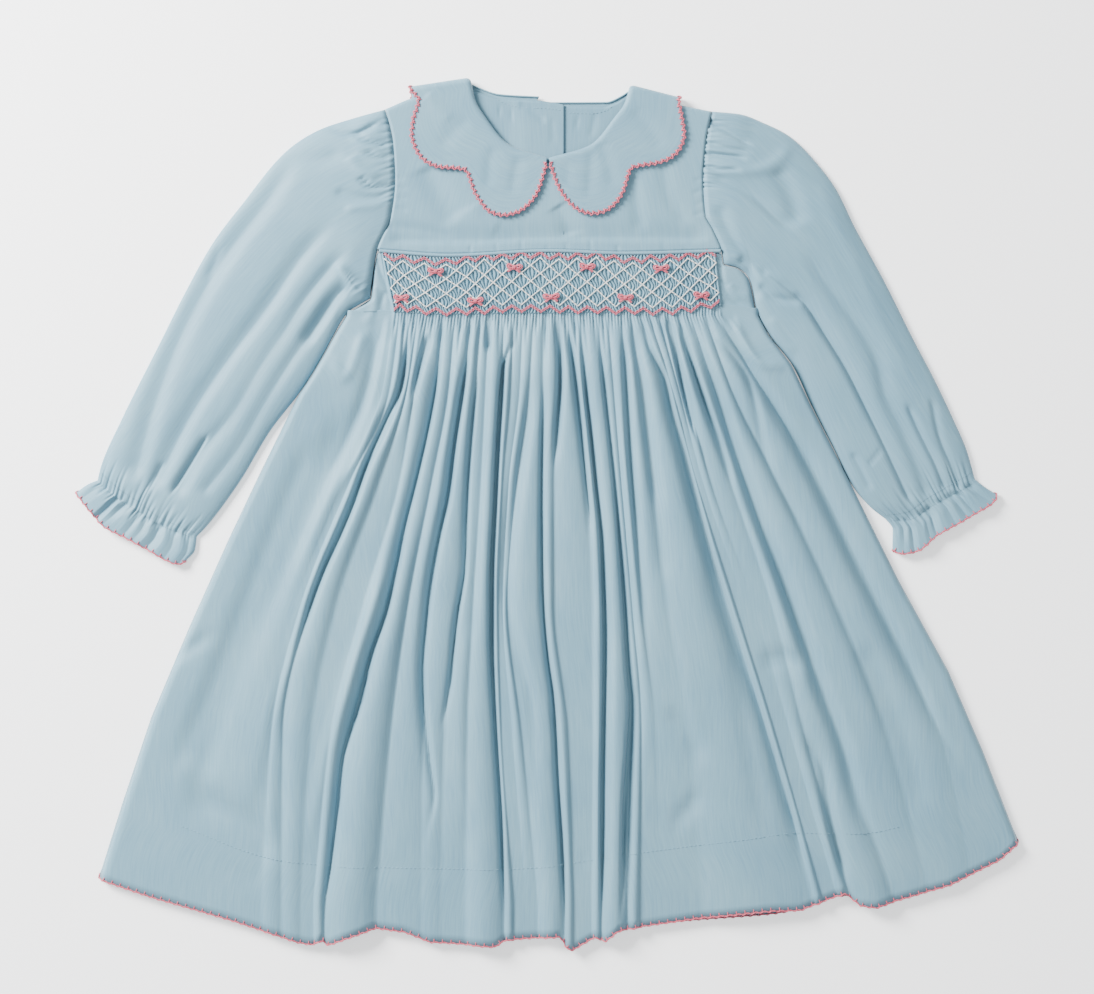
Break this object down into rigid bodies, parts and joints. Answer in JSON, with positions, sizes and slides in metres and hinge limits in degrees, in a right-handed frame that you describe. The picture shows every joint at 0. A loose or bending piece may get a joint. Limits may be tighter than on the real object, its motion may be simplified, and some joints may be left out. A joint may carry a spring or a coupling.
{
  "type": "smocked dress",
  "caption": "Child's long-sleeved dress laid flat, front up: scalloped collar, plain yoke, smocked band with bows, gathered skirt and ruffled cuffs",
  "frame": {"origin": "middle of the bounding box in plan, at the surface that the dress lies on", "axes": "+Y up the dress from the hem to the neck, +X to the viewer's right (the wearer's left sleeve), +Z out of the front, away from the table"},
  "size_m": [0.6148, 0.5664, 0.0093],
  "materials": {
    "front_skirt": "fine pale blue cotton with a soft sheen",
    "back_skirt": "fine pale blue cotton with a soft sheen",
    "front_yoke": "fine pale blue cotton with a soft sheen",
    "back_yoke_right": "fine pale blue cotton with a soft sheen",
    "back_yoke_left": "fine pale blue cotton with a soft sheen",
    "collar_right": "fine pale blue cotton with a soft sheen",
    "collar_left": "fine pale blue cotton with a soft sheen",
    "sleeve_right": "fine pale blue cotton with a soft sheen",
    "sleeve_left": "fine pale blue cotton with a soft sheen",
    "yoke_piping": "corded pale blue cotton piping",
    "button_1": "smooth white",
    "button_2": "smooth white",
    "button_3": "smooth white"
  },
  "bodies": {
    "root": {"front_skirt": "front_skirt", "back_skirt": "back_skirt", "front_yoke": "front_yoke", "back_yoke_right": "back_yoke_right", "back_yoke_left": "back_yoke_left", "collar_right": "collar_right", "collar_left": "collar_left", "sleeve_right": "sleeve_right", "sleeve_left": "sleeve_left", "yoke_piping": "yoke_piping", "button_1": "button_1", "button_2": "button_2", "button_3": "button_3"}
  },
  "joints": []
}
